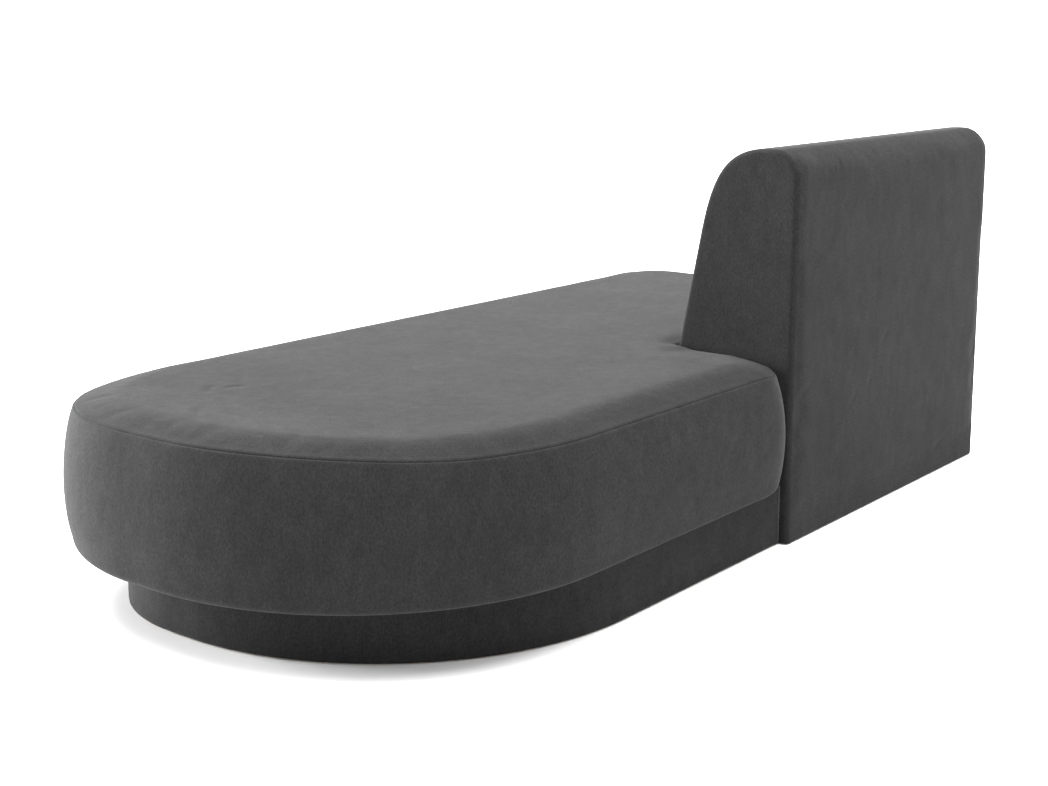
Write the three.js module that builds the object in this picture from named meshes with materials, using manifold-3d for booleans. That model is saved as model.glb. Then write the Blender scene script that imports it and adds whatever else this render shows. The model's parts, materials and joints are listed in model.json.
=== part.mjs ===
// Daybed: an upholstered lounge seat with one rounded end, on a recessed plinth, with a backrest
// along less than half of its rear. Millimetres, +Z up, the front faces -Y and the rounded lounge
// end is at +X. The origin is on the floor, under the middle of the whole object.
import * as THREE from 'three';
import { mergeVertices } from 'three/addons/utils/BufferGeometryUtils.js';
import Module from 'manifold-3d';

const wasm = await Module();
wasm.setup();

// ---- Driving dimensions ----
const LENGTH = 2225; // over the fullest line of the seat's side band
const DEPTH = 1078; // likewise
const HEIGHT = 835; // top of the backrest
const SEAT_HEIGHT = 400; // crown of the seat
const SEAM_HEIGHT = 387; // where the top panel is sewn to the side band
const PLINTH_HEIGHT = 130; // underside of the seat

const BACK_WIDTH = 962;
const BACK_DEPTH = 285; // front to rear at the seat's height
const BACK_SETBACK = 30; // the seat's rear stands this far behind the backrest's rear face
const BACK_LEAN = THREE.MathUtils.degToRad(11.7);
const BACK_BEND_HEIGHT = 659; // the leaning front face starts to curl back here
const BACK_REAR_RADIUS = 60;
const BACK_CURL = { foot: 125, crown: 100, crownAt: 70 }; // handles and end of the curl's curve

const FRONT_CORNER_RADIUS = 171; // seat corner in front of the backrest
const LOUNGE_FRONT_RADIUS = 446;
const LOUNGE_REAR_RADIUS = 556;
const REAR_CORNER_RADIUS = 125; // seat corner that turns in beside the backrest
const REAR_CORNER_START = 105; // it starts this far from the backrest's end

const BAND_FOOT_INSET = 9; // side band: inset above its rounded lower edge
const BAND_FOOT_ROUND = 23;
const BULGE_HEIGHT = 245; // fullest line of the side band
const SEAM_INSET = 23;
const CROWN_INSET = 112; // the top panel rolls up to the crown over this width

const PLINTH_RECESS = { left: 50, front: 81, lounge: 130, rear: 50 };
const PLINTH_CORNER_RADIUS = 114;
const PLINTH_FRONT_RADIUS = 335;
const PLINTH_REAR_RADIUS = 559;

const COVER = 3; // upholstery fabric with its backing
const GAP = 0.3; // between pieces that touch
const RAIL = 22; // seat frame timber
const BOARD = 18; // plinth and backrest plywood
const CLOTH = 2; // base cloth under the seat frame
const EDGE_FOAM = 22.7; // from the cover's inner face to the frame
const GLIDE = { height: 5, radius: 8, foot: 7, frontXs: [-800, 450], rearX: 250, fromBackrestEdge: 60 };
const CROSS_XS = [-640, 330]; // cross pieces of the plinth and of the seat frame start here
const STRAP = { width: 80, thickness: 2, lap: 6, xs: [-860, -420, 60, 400, 700] };
const PLINTH_CLEARANCE = 3.5; // hem of the plinth's cover above the floor

// ---- Places that follow from them ----
const LEFT = -LENGTH / 2;
const RIGHT = LENGTH / 2;
const FRONT = -DEPTH / 2;
const REAR = DEPTH / 2;
const BACK_REAR = REAR - BACK_SETBACK;
const BACK_FRONT = BACK_REAR - BACK_DEPTH;
const BACK_END = LEFT + BACK_WIDTH;
const FRAME_INSET = COVER + EDGE_FOAM + 2 * GAP;
const FRAME_FOOT = PLINTH_HEIGHT + CLOTH + 2 * GAP;
const FRAME_TOP = 235;
const FOAM_FOOT = FRAME_TOP + STRAP.thickness + 2 * GAP;
const TOPPER_FOOT = 350;
const TOPPER_SHOULDER = 370; // its sides end here and its crown begins
const TOPPER_SKIN = 9; // the cover's soft backing fills the space above the topper
const TUCK = 9; // the cover is tucked down into this space beside the backrest
const EDGE_FOAM_FOOT = PLINTH_HEIGHT + 12;
const PLINTH_FOOT = GLIDE.height + GAP;

// ---- Finishes ----
const VELVET = { color: 0x5b5b5b, roughness: 0.9, metalness: 0 };
const WEB = { color: 0x2b2b2b, roughness: 0.85, metalness: 0 };
const BASE_CLOTH = { color: 0x1c1c1c, roughness: 0.95, metalness: 0 };
const PLY = { color: 0xc9a877, roughness: 0.65, metalness: 0 };
const TIMBER = { color: 0xd2b083, roughness: 0.7, metalness: 0 };
const FOAM = { color: 0xe8dfb8, roughness: 0.95, metalness: 0 };
const WADDING = { color: 0xf0efec, roughness: 0.95, metalness: 0 };
const PLASTIC = { color: 0x202020, roughness: 0.5, metalness: 0 };
const STEEL = { color: 0xb4b6b8, roughness: 0.35, metalness: 1 };

// ---- Making and cutting solids ----
function solidOf(geometry) {
  const bare = geometry.clone();
  bare.deleteAttribute('normal');
  bare.deleteAttribute('uv');
  const merged = mergeVertices(bare, 1e-4);
  return new wasm.Manifold(new wasm.Mesh({
    numProp: 3,
    vertProperties: new Float32Array(merged.attributes.position.array),
    triVerts: new Uint32Array(merged.index.array),
  }));
}

function geometryOf(solid) {
  const mesh = solid.getMesh();
  const geometry = new THREE.BufferGeometry();
  geometry.setAttribute('position', new THREE.BufferAttribute(mesh.vertProperties, 3));
  geometry.setIndex(new THREE.BufferAttribute(mesh.triVerts, 1));
  return geometry;
}

const subtract = (a, ...tools) => geometryOf(tools.reduce((s, t) => s.subtract(solidOf(t)), solidOf(a)));
const intersect = (a, b) => geometryOf(solidOf(a).intersect(solidOf(b)));

function volumeOf(positions, index) {
  const corner = (i) => new THREE.Vector3(...positions.slice(3 * i, 3 * i + 3));
  let volume = 0;
  for (let i = 0; i < index.length; i += 3) {
    const [a, b, c] = [corner(index[i]), corner(index[i + 1]), corner(index[i + 2])];
    volume += a.dot(b.cross(c)) / 6;
  }
  return volume;
}

// Triangles over one closed outline, turning the way the outline turns.
function capOf(outline) {
  const contour = outline.map(([u, v]) => new THREE.Vector2(u, v));
  const faces = THREE.ShapeUtils.triangulateShape(contour, []);
  const turn = (points) => Math.sign(THREE.ShapeUtils.area(points));
  const same = turn(contour) === turn(faces[0].map((i) => contour[i]));
  return same ? faces : faces.map(([a, b, c]) => [a, c, b]);
}

// A closed body through rings of equal length; cap is the first and the last ring's flat outline.
function loft(rings, firstCap, lastCap) {
  const count = rings[0].length;
  const positions = rings.flat(2);
  const index = [];
  for (let r = 0; r < rings.length - 1; r += 1) {
    for (let i = 0; i < count; i += 1) {
      const next = (i + 1) % count;
      const [a, b, c, d] = [r * count + i, r * count + next, (r + 1) * count + next, (r + 1) * count + i];
      index.push(a, b, c, a, c, d);
    }
  }
  const last = (rings.length - 1) * count;
  capOf(firstCap).forEach(([a, b, c]) => index.push(a, c, b));
  capOf(lastCap).forEach((face) => index.push(...face.map((i) => i + last)));
  if (volumeOf(positions, index) < 0) index.reverse();
  const geometry = new THREE.BufferGeometry();
  geometry.setAttribute('position', new THREE.Float32BufferAttribute(positions, 3));
  geometry.setIndex(index);
  return geometry;
}

function box(x0, x1, y0, y1, z0, z1) {
  const geometry = new THREE.BoxGeometry(x1 - x0, y1 - y0, z1 - z0);
  return geometry.translate((x0 + x1) / 2, (y0 + y1) / 2, (z0 + z1) / 2);
}

// ---- Plan outlines ----
// A station is a point on an outline with the direction that leads inwards from it.
const station = (x, y, inX, inY) => ({ x, y, inX, inY });

function arc(centreX, centreY, radius, fromDegrees, toDegrees, steps) {
  return Array.from({ length: steps + 1 }, (_, i) => {
    const angle = THREE.MathUtils.degToRad(fromDegrees + ((toDegrees - fromDegrees) * i) / steps);
    const [c, s] = [Math.cos(angle), Math.sin(angle)];
    return station(centreX + radius * c, centreY + radius * s, -c, -s);
  });
}

// Stretches of a rounded outline that starts and ends at the backrest, in order along its edge.
function stretches(edge, radius, turnIn) {
  const corner = arc(edge.left + radius.corner, edge.front + radius.corner, radius.corner, 180, 270, 6);
  const loungeFront = arc(edge.right - radius.front, edge.front + radius.front, radius.front, 270, 360, 12);
  const loungeRear = arc(edge.right - radius.rear, edge.rear - radius.rear, radius.rear, 0, 90, 14);
  return {
    left: [station(edge.left, BACK_FRONT - GAP, 1, 0), corner[0]],
    corner,
    front: [corner.at(-1), loungeFront[0]],
    loungeFront: [...loungeFront, loungeRear[0]],
    loungeRear,
    rear: [loungeRear.at(-1), turnIn[0]],
    turnIn,
  };
}

// The seat's rear corner curls in until it meets the backrest's end, and there its inward
// direction runs along that end.
function rearCorner() {
  const centreX = BACK_END + REAR_CORNER_START;
  const reach = REAR_CORNER_START - GAP;
  const stop = 180 - THREE.MathUtils.radToDeg(Math.acos(reach / REAR_CORNER_RADIUS));
  const steps = 5;
  return arc(centreX, REAR - REAR_CORNER_RADIUS, REAR_CORNER_RADIUS, 90, stop, steps).map((s, i) => {
    const part = i / steps;
    return station(s.x, s.y, s.inX * (1 - part), s.inY * (1 - part) - 1.25 * part);
  });
}

const SEAT = stretches(
  { left: LEFT, right: RIGHT, front: FRONT, rear: REAR },
  { corner: FRONT_CORNER_RADIUS, front: LOUNGE_FRONT_RADIUS, rear: LOUNGE_REAR_RADIUS },
  rearCorner(),
);
const PLINTH_EDGE = {
  left: LEFT + PLINTH_RECESS.left,
  right: RIGHT - PLINTH_RECESS.lounge,
  front: FRONT + PLINTH_RECESS.front,
  rear: REAR - PLINTH_RECESS.rear,
};
const PLINTH = stretches(
  PLINTH_EDGE,
  { corner: PLINTH_CORNER_RADIUS, front: PLINTH_FRONT_RADIUS, rear: PLINTH_REAR_RADIUS },
  [station(BACK_END + GAP, PLINTH_EDGE.rear, 0, -1)],
);

const insetPoint = (s, inset) => [s.x + s.inX * inset, s.y + s.inY * inset];
const sameStation = (a, b) => Math.hypot(a.x - b.x, a.y - b.y) < 1e-6;
const joined = (...lists) => lists.flat().filter((s, i, all) => i === 0 || !sameStation(s, all[i - 1]));
const wholePath = (path) => joined(...Object.values(path));

// The same stretch with its first or last station moved along the edge, to clear its neighbour.
const moved = (s, dx, dy) => station(s.x + dx, s.y + dy, s.inX, s.inY);
const startMoved = (stations, dx, dy) => [moved(stations[0], dx, dy), ...stations.slice(1)];
const endMoved = (stations, dx, dy) => [...stations.slice(0, -1), moved(stations.at(-1), dx, dy)];

// A strip along stations, with a closed section of [inset, height] points.
function strip(stations, section) {
  const rings = stations.map((s) => section.map(([inset, z]) => [...insetPoint(s, inset), z]));
  return loft(rings, section, section);
}

const wall = (stations, outer, thickness, z0, z1) =>
  strip(stations, [[outer, z0], [outer, z1], [outer + thickness, z1], [outer + thickness, z0]]);

// A block with its outer face along stations and a straight inner face.
function cornerBlock(stations, inset, z0, z1) {
  const outline = stations.map((s) => insetPoint(s, inset));
  const ring = (z) => outline.map(([x, y]) => [x, y, z]);
  return loft([ring(z0), ring(z1)], outline, outline);
}

// The whole outline at an inset, notched for the backrest; past carries it beyond the notch.
function notchedOutline(path, inset, past = 0) {
  const points = wholePath(path).map((s) => insetPoint(s, inset));
  points[0][1] += past;
  points.at(-1)[0] -= past;
  return [...points, [BACK_END + GAP - past, BACK_FRONT - GAP + past]];
}

// A body stacked from [inset, height] layers of the notched outline.
function stack(path, layers, past = 0) {
  const outlines = layers.map(([inset]) => notchedOutline(path, inset, past));
  const rings = outlines.map((outline, i) => outline.map(([x, y]) => [x, y, layers[i][1]]));
  return loft(rings, outlines[0], outlines.at(-1));
}

// ---- The seat's outer surface ----
// Its side bulges between a rounded foot and the seam.
function sideCurve(z) {
  const footTop = PLINTH_HEIGHT + BAND_FOOT_ROUND;
  if (z < footTop) {
    return BAND_FOOT_INSET + BAND_FOOT_ROUND - Math.sqrt(BAND_FOOT_ROUND ** 2 - (footTop - z) ** 2);
  }
  if (z < BULGE_HEIGHT) return BAND_FOOT_INSET * ((BULGE_HEIGHT - z) / (BULGE_HEIGHT - footTop)) ** 2;
  return SEAM_INSET * ((z - BULGE_HEIGHT) / (SEAM_HEIGHT - BULGE_HEIGHT)) ** 2;
}

// Every layer of the seat shares these heights, so that their facets stay parallel.
const FOOT_STEPS = [0, 1, 3, 8, 14, BAND_FOOT_ROUND];
const SIDE_STEPS = [200, BULGE_HEIGHT, 290, 330, 362, SEAM_HEIGHT];
const SIDE_HEIGHTS = [...FOOT_STEPS.map((step) => PLINTH_HEIGHT + step), ...SIDE_STEPS];

function sideInset(z) {
  const above = Math.max(1, SIDE_HEIGHTS.findIndex((height) => height >= z));
  const [low, high] = [SIDE_HEIGHTS[above - 1], SIDE_HEIGHTS[above]];
  return THREE.MathUtils.mapLinear(z, low, high, sideCurve(low), sideCurve(high));
}

function sideLayers(skin, z0, z1) {
  const between = SIDE_HEIGHTS.filter((z) => z > z0 && z < z1);
  return [z0, ...between, z1].map((z) => [sideInset(z) + skin, z]);
}

function crownLayers(skin, steps = 4) {
  return Array.from({ length: steps + 1 }, (_, i) => {
    const part = i / steps;
    const rise = (SEAT_HEIGHT - SEAM_HEIGHT) * Math.sin((part * Math.PI) / 2);
    return [SEAM_INSET + (CROWN_INSET - SEAM_INSET) * part + skin, SEAM_HEIGHT + rise - skin];
  });
}

// ---- The backrest's side outline: t runs forwards from its rear face ----
const backPlace = (t) => BACK_REAR - t;
const frontAt = (z) => BACK_DEPTH - Math.tan(BACK_LEAN) * (z - SEAT_HEIGHT);

function backOutline(inset, foot) {
  const bend = [frontAt(BACK_BEND_HEIGHT), BACK_BEND_HEIGHT];
  const { foot: h1, crown: h2, crownAt } = BACK_CURL;
  const outline = new THREE.Path();
  outline.moveTo(BACK_DEPTH, foot - inset);
  outline.lineTo(BACK_DEPTH, SEAT_HEIGHT);
  outline.lineTo(...bend);
  outline.bezierCurveTo(
    bend[0] - h1 * Math.sin(BACK_LEAN), bend[1] + h1 * Math.cos(BACK_LEAN),
    crownAt + h2, HEIGHT, crownAt, HEIGHT,
  );
  outline.lineTo(BACK_REAR_RADIUS, HEIGHT);
  const curlCentre = [BACK_REAR_RADIUS, HEIGHT - BACK_REAR_RADIUS];
  outline.absarc(...curlCentre, BACK_REAR_RADIUS, Math.PI / 2, Math.PI, false);
  outline.lineTo(0, foot - inset);
  const points = outline.getPoints(8).filter((p, i, all) => i === 0 || p.distanceTo(all[i - 1]) > 1e-6);
  return points.map((p, i) => insetCorner(points.at(i - 1), p, points[(i + 1) % points.length], inset));
}

// Moves one corner of a left-turning outline inwards, square to both of its sides.
function insetCorner(before, here, after, inset) {
  const inward = (from, to) => {
    const along = to.clone().sub(from).normalize();
    return new THREE.Vector2(-along.y, along.x);
  };
  const [a, b] = [inward(before, here), inward(here, after)];
  const mean = a.clone().add(b).normalize();
  const moved = here.clone().addScaledVector(mean, inset / mean.dot(a));
  return [moved.x, moved.y];
}

// A prism along X over an outline of [t, height] points.
function backPrism(outline, x0, x1) {
  const ring = (x) => outline.map(([t, z]) => [x, backPlace(t), z]);
  return loft([ring(x0), ring(x1)], outline, outline);
}

// ---- The assembly ----
const daybed = new THREE.Group();
daybed.name = 'daybed';

function add(name, geometry, finish) {
  const mesh = new THREE.Mesh(geometry, new THREE.MeshStandardMaterial(finish));
  mesh.name = name;
  daybed.add(mesh);
}

// Plinth: plywood walls in a closed loop, set back under the seat.
function addPlinth() {
  const outer = COVER + GAP;
  const inner = outer + BOARD;
  const wallOn = (stations) => wall(stations, outer, BOARD, PLINTH_FOOT, PLINTH_HEIGHT);
  const board = (x0, x1, y0, y1) => box(x0, x1, y0, y1, PLINTH_FOOT, PLINTH_HEIGHT);
  const backWall = BACK_FRONT - GAP - BOARD;
  add('plinth_left_wall', wallOn(endMoved(PLINTH.left, 0, GAP)), PLY);
  add('plinth_corner_block', cornerBlock(PLINTH.corner, outer, PLINTH_FOOT, PLINTH_HEIGHT), TIMBER);
  add('plinth_front_wall', wallOn(startMoved(endMoved(PLINTH.front, -GAP, 0), GAP, 0)), PLY);
  add('plinth_lounge_wall_front', wallOn(PLINTH.loungeFront), PLY);
  add('plinth_lounge_wall_rear', wallOn(startMoved(PLINTH.loungeRear, 0, GAP)), PLY);
  add('plinth_rear_wall', wallOn(startMoved(PLINTH.rear, -GAP, 0)), PLY);
  add('plinth_back_wall', board(PLINTH_EDGE.left + inner + GAP, BACK_END, backWall, BACK_FRONT - GAP), PLY);
  const returnTop = PLINTH_EDGE.rear - inner - GAP;
  add('plinth_return_wall', board(BACK_END + GAP, BACK_END + GAP + BOARD, backWall, returnTop), PLY);
  const front = PLINTH_EDGE.front + inner + GAP;
  const [x1, x2] = CROSS_XS;
  add('plinth_cross_wall_1', board(x1, x1 + BOARD, front, backWall - GAP), PLY);
  add('plinth_cross_wall_2', board(x2, x2 + BOARD, front, returnTop), PLY);
  const cover = wall(wholePath(PLINTH), 0, COVER, PLINTH_CLEARANCE, PLINTH_HEIGHT);
  add('plinth_cover', cover, VELVET);
}

function addGlides() {
  const inset = COVER + GAP + BOARD / 2;
  const [loungeStart, loungeStop] = PLINTH.loungeFront.slice(-2);
  const backY = BACK_REAR - GLIDE.fromBackrestEdge;
  const places = {
    front_1: [GLIDE.frontXs[0], PLINTH_EDGE.front + inset],
    front_2: [GLIDE.frontXs[1], PLINTH_EDGE.front + inset],
    lounge: [PLINTH_EDGE.right - inset, (loungeStart.y + loungeStop.y) / 2],
    rear: [GLIDE.rearX, PLINTH_EDGE.rear - inset],
    back_1: [LEFT + GLIDE.fromBackrestEdge, backY],
    back_2: [BACK_END - GLIDE.fromBackrestEdge, backY],
  };
  Object.entries(places).forEach(([place, [x, y]]) => {
    const glide = new THREE.CylinderGeometry(GLIDE.radius, GLIDE.foot, GLIDE.height, 20);
    glide.rotateX(Math.PI / 2).translate(x, y, GLIDE.height / 2);
    add(`glide_${place}`, glide, PLASTIC);
  });
}

// Seat frame: timber rails on edge, with the base cloth stapled under them.
function addSeatFrame() {
  const inner = FRAME_INSET + RAIL;
  const railOn = (stations) => wall(stations, FRAME_INSET, RAIL, FRAME_FOOT, FRAME_TOP);
  const rail = (x0, x1, y0, y1) => box(x0, x1, y0, y1, FRAME_FOOT, FRAME_TOP);
  const backRail = BACK_FRONT - GAP - RAIL;
  const left = startMoved(endMoved(SEAT.left, 0, GAP), 0, -RAIL - GAP);
  add('seat_left_rail', railOn(left), TIMBER);
  add('seat_corner_block', cornerBlock(SEAT.corner, FRAME_INSET, FRAME_FOOT, FRAME_TOP), TIMBER);
  add('seat_front_rail', railOn(startMoved(endMoved(SEAT.front, -GAP, 0), GAP, 0)), TIMBER);
  add('seat_lounge_rail_front', railOn(SEAT.loungeFront), PLY);
  add('seat_lounge_rail_rear', railOn(startMoved(SEAT.loungeRear, 0, GAP)), PLY);
  add('seat_rear_rail', railOn(startMoved(endMoved(SEAT.rear, GAP, 0), -GAP, 0)), TIMBER);
  const blockFoot = [
    station(SEAT.turnIn[0].x, REAR - inner, 0, 0),
    station(BACK_END + GAP, insetPoint(SEAT.turnIn.at(-1), inner)[1], 0, 0),
  ];
  const block = [...SEAT.turnIn, blockFoot[1], blockFoot[0]];
  add('seat_rear_corner_block', cornerBlock(block, FRAME_INSET, FRAME_FOOT, FRAME_TOP), TIMBER);
  const backRailAt = rail(LEFT + FRAME_INSET, BACK_END, backRail, BACK_FRONT - GAP);
  add('seat_back_rail', subtract(backRailAt, ...BOLT_XS.map(boltHole)), TIMBER);
  const returnTop = blockFoot[1].y - GAP;
  add('seat_return_rail', rail(BACK_END + GAP, BACK_END + GAP + RAIL, backRail, returnTop), TIMBER);
  const front = FRONT + inner + GAP;
  const [x1, x2] = CROSS_XS;
  add('seat_cross_rail_1', rail(x1, x1 + RAIL, front, backRail - GAP), TIMBER);
  add('seat_cross_rail_2', rail(x2, x2 + RAIL, front, REAR - inner - GAP), TIMBER);
  const hem = FRAME_INSET + 10;
  const cloth = stack(SEAT, [[hem, PLINTH_HEIGHT + GAP], [hem, PLINTH_HEIGHT + GAP + CLOTH]]);
  add('seat_base_cloth', cloth, BASE_CLOTH);
}

// Elastic straps from rail to rail, front to rear, under the foam.
function addWebbing() {
  const lap = FRAME_INSET + STRAP.lap; // they end this far inside the seat's fullest line
  const rearAt = (x) => {
    if (x < BACK_END) return BACK_FRONT - STRAP.lap;
    const over = Math.max(0, x + STRAP.width / 2 - (RIGHT - LOUNGE_REAR_RADIUS));
    const radius = LOUNGE_REAR_RADIUS - lap;
    return REAR - LOUNGE_REAR_RADIUS + Math.sqrt(radius ** 2 - over ** 2);
  };
  const frontAtX = (x) => {
    const over = Math.max(0, x + STRAP.width / 2 - (RIGHT - LOUNGE_FRONT_RADIUS));
    const radius = LOUNGE_FRONT_RADIUS - lap;
    return FRONT + LOUNGE_FRONT_RADIUS - Math.sqrt(radius ** 2 - over ** 2);
  };
  const foot = FRAME_TOP + GAP;
  STRAP.xs.forEach((x, i) => {
    const [x0, x1] = [x - STRAP.width / 2, x + STRAP.width / 2];
    const strap = box(x0, x1, frontAtX(x), rearAt(x), foot, foot + STRAP.thickness);
    add(`webbing_strap_${i + 1}`, strap, WEB);
  });
}

// Seat foam on the webbing, a softer topper over it, and strips glued round the frame. They stop
// short of the backrest, because the cover is tucked down between the two.
function addSeatFoam() {
  const skin = COVER + GAP;
  add('seat_foam', stack(SEAT, sideLayers(skin, FOAM_FOOT, TOPPER_FOOT - GAP), -TUCK), FOAM);
  const sides = sideLayers(TOPPER_SKIN, TOPPER_FOOT, TOPPER_SHOULDER);
  add('seat_topper', stack(SEAT, [...sides, ...crownLayers(TOPPER_SKIN)], -TUCK), WADDING);
  const inner = FRAME_INSET - GAP;
  const outside = sideLayers(skin, EDGE_FOAM_FOOT, FRAME_TOP);
  const section = [...outside, [inner, FRAME_TOP], [inner, EDGE_FOAM_FOOT]];
  const left = joined(startMoved(SEAT.left, 0, -TUCK), SEAT.corner);
  add('seat_edge_foam_left', strip(left, section), FOAM);
  add('seat_edge_foam_front', strip(startMoved(endMoved(SEAT.front, -GAP, 0), GAP, 0), section), FOAM);
  add('seat_edge_foam_lounge_front', strip(SEAT.loungeFront, section), FOAM);
  add('seat_edge_foam_lounge_rear', strip(startMoved(SEAT.loungeRear, 0, GAP), section), FOAM);
  const rear = joined(startMoved(SEAT.rear, -GAP, 0), SEAT.turnIn.slice(0, -1));
  add('seat_edge_foam_rear', strip(rear, section), FOAM);
}

// Seat cover: a side band and a top panel, sewn together along the seam.
function addSeatCover() {
  const surface = (skin) => sideLayers(skin, PLINTH_HEIGHT, SEAM_HEIGHT - GAP);
  const band = [...surface(0), ...surface(COVER).reverse()];
  add('seat_side_band', strip(wholePath(SEAT), band), VELVET);
  const lid = stack(SEAT, crownLayers(0));
  const below = [SEAM_INSET + COVER, SEAM_HEIGHT - 2 * COVER];
  const hollow = stack(SEAT, [below, ...crownLayers(COVER)], COVER + 1);
  add('seat_top_cover', subtract(lid, hollow), VELVET);
}

// Backrest: plywood ribs on a floor board, leaning front panel, foam and cover.
const BACK_FOOT = PLINTH_FOOT;
const RIB_INSET = 19; // ribs and panels stop this far inside the backrest's ends
const BACK_FOAM_FOOT = 300;
const BACK_FOAM_TOP = 745;
const FRONT_FOAM = 48;
const FRONT_PANEL = 9;
const BACK_PANEL = 4;
const BACK_PANEL_AT = 8; // wadding fills this space behind it
const END_FOAM = 16; // the foam's ends stop here, and thin pads cover them
const END_PAD = { inset: 12, foot: PLINTH_FOOT + 24 };
const OPEN_UNDER = 100; // the cover is open under the seat, from here forwards
const RIB_REAR = BACK_PANEL_AT + BACK_PANEL + GAP;
const RIB_FRONT = BACK_DEPTH - GAP - RAIL - GAP;

// Distance behind the leaning front face, measured square to it.
const behindFront = (z, distance) => frontAt(z) - distance / Math.cos(BACK_LEAN);

function addBackrestFrame() {
  const [x0, x1] = [LEFT + RIB_INSET, BACK_END - RIB_INSET];
  const ribFoot = BACK_FOOT + BOARD + GAP;
  const topRailFoot = BACK_FOAM_TOP - RAIL;
  const ribDepth = FRONT_FOAM + FRONT_PANEL + 2 * GAP;
  const rib = [
    [RIB_REAR, ribFoot],
    [RIB_FRONT, ribFoot],
    [RIB_FRONT, FRAME_TOP],
    [behindFront(BACK_FOAM_FOOT, ribDepth), BACK_FOAM_FOOT],
    [behindFront(topRailFoot - GAP, ribDepth), topRailFoot - GAP],
    [RIB_REAR, topRailFoot - GAP],
  ];
  [x0, (x0 + x1 - BOARD) / 2, x1 - BOARD].forEach((x, i) => {
    add(`backrest_rib_${i + 1}`, backPrism(rib, x, x + BOARD), PLY);
  });
  const slab = (t0, t1, z0, z1) => box(x0, x1, backPlace(t1), backPlace(t0), z0, z1);
  add('backrest_floor_board', slab(RIB_REAR, RIB_FRONT, BACK_FOOT, BACK_FOOT + BOARD), PLY);
  const topRailFront = behindFront(BACK_FOAM_TOP, ribDepth);
  add('backrest_top_rail', slab(RIB_REAR, topRailFront, topRailFoot, BACK_FOAM_TOP), TIMBER);
  const frontRail = slab(BACK_DEPTH - GAP - RAIL, BACK_DEPTH - GAP, FRAME_FOOT, FRAME_TOP);
  add('backrest_front_rail', subtract(frontRail, ...BOLT_XS.map(boltHole)), TIMBER);
  const rearPanel = slab(BACK_PANEL_AT, BACK_PANEL_AT + BACK_PANEL, BACK_FOOT, BACK_FOAM_TOP);
  add('backrest_rear_panel', rearPanel, PLY);
  add('backrest_front_panel', backPrism(leaningSlab(FRONT_FOAM + GAP, FRONT_PANEL), x0, x1), PLY);
}

function leaningSlab(distance, thickness) {
  const at = (z, d) => [behindFront(z, d), z];
  const near = distance;
  const far = distance + thickness;
  return [
    at(BACK_FOAM_FOOT, near), at(BACK_FOAM_TOP, near), at(BACK_FOAM_TOP, far), at(BACK_FOAM_FOOT, far),
  ];
}

function addBackrestFoam() {
  const [x0, x1] = [LEFT + END_FOAM, BACK_END - END_FOAM];
  const core = backPrism(backOutline(COVER + GAP, BACK_FOAM_FOOT), x0, x1);
  const ahead = backPrism([
    [behindFront(BACK_FOAM_FOOT, FRONT_FOAM), BACK_FOAM_FOOT],
    [BACK_DEPTH, BACK_FOAM_FOOT],
    [BACK_DEPTH, BACK_FOAM_TOP],
    [behindFront(BACK_FOAM_TOP, FRONT_FOAM), BACK_FOAM_TOP],
  ], x0 - 1, x1 + 1);
  add('backrest_front_foam', intersect(core, ahead), FOAM);
  const above = box(x0 - 1, x1 + 1, BACK_FRONT, BACK_REAR, BACK_FOAM_TOP + GAP, HEIGHT);
  add('backrest_top_foam', intersect(core, above), FOAM);
  const pad = backOutline(END_PAD.inset, END_PAD.foot);
  const [near, far] = [COVER + GAP, END_FOAM - GAP];
  add('backrest_end_pad_1', backPrism(pad, LEFT + near, LEFT + far), WADDING);
  add('backrest_end_pad_2', backPrism(pad, BACK_END - far, BACK_END - near), WADDING);
}

function addBackrestCover() {
  const outer = backOutline(0, PLINTH_CLEARANCE);
  add('backrest_end_cover_1', backPrism(outer, LEFT, LEFT + COVER), VELVET);
  add('backrest_end_cover_2', backPrism(outer, BACK_END - COVER, BACK_END), VELVET);
  const [x0, x1] = [LEFT + COVER + GAP, BACK_END - COVER - GAP];
  const whole = backPrism(outer, x0, x1);
  const hollow = backPrism(backOutline(COVER, PLINTH_CLEARANCE - 1), x0 - 1, x1 + 1);
  const underSeat = box(x0 - 1, x1 + 1, BACK_FRONT - 1, backPlace(OPEN_UNDER), 0, BACK_FOAM_FOOT);
  add('backrest_cover', subtract(whole, hollow, underSeat), VELVET);
}

// Bolts that draw the backrest's front rail against the seat's back rail.
const BOLT = { radius: 4, head: 6.5, headLength: 5.5, length: 52, height: 190 };
const BOLT_XS = [-900, -360];

function boltHole(x) {
  const hole = new THREE.CylinderGeometry(BOLT.radius + GAP, BOLT.radius + GAP, 3 * RAIL, 16);
  return hole.translate(x, BACK_FRONT, BOLT.height);
}

function addBolts() {
  const tip = BOLT.headLength + BOLT.length;
  const profile = [
    [0, 0], [BOLT.head, 0], [BOLT.head, BOLT.headLength], [BOLT.radius, BOLT.headLength],
    [BOLT.radius, tip], [0, tip],
  ].map(([r, y]) => new THREE.Vector2(r, y));
  const headFace = backPlace(RIB_FRONT) + BOLT.headLength;
  BOLT_XS.forEach((x, i) => {
    const bolt = new THREE.LatheGeometry(profile, 16);
    bolt.rotateX(Math.PI).translate(x, headFace, BOLT.height);
    add(`backrest_bolt_${i + 1}`, bolt, STEEL);
  });
}

addGlides();
addPlinth();
addSeatFrame();
addWebbing();
addSeatFoam();
addSeatCover();
addBackrestFrame();
addBackrestFoam();
addBackrestCover();
addBolts();

export default daybed;
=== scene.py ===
"""The daybed's looks: velvet covers, base cloth and materials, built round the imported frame.

Metres, in the frame's own axes: +X towards the rounded lounge end, -Y is the front, +Z up."""

import json
import math

import bmesh
import bpy
import numpy as np
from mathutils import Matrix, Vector, kdtree, noise
from mathutils.geometry import delaunay_2d_cdt


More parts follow.
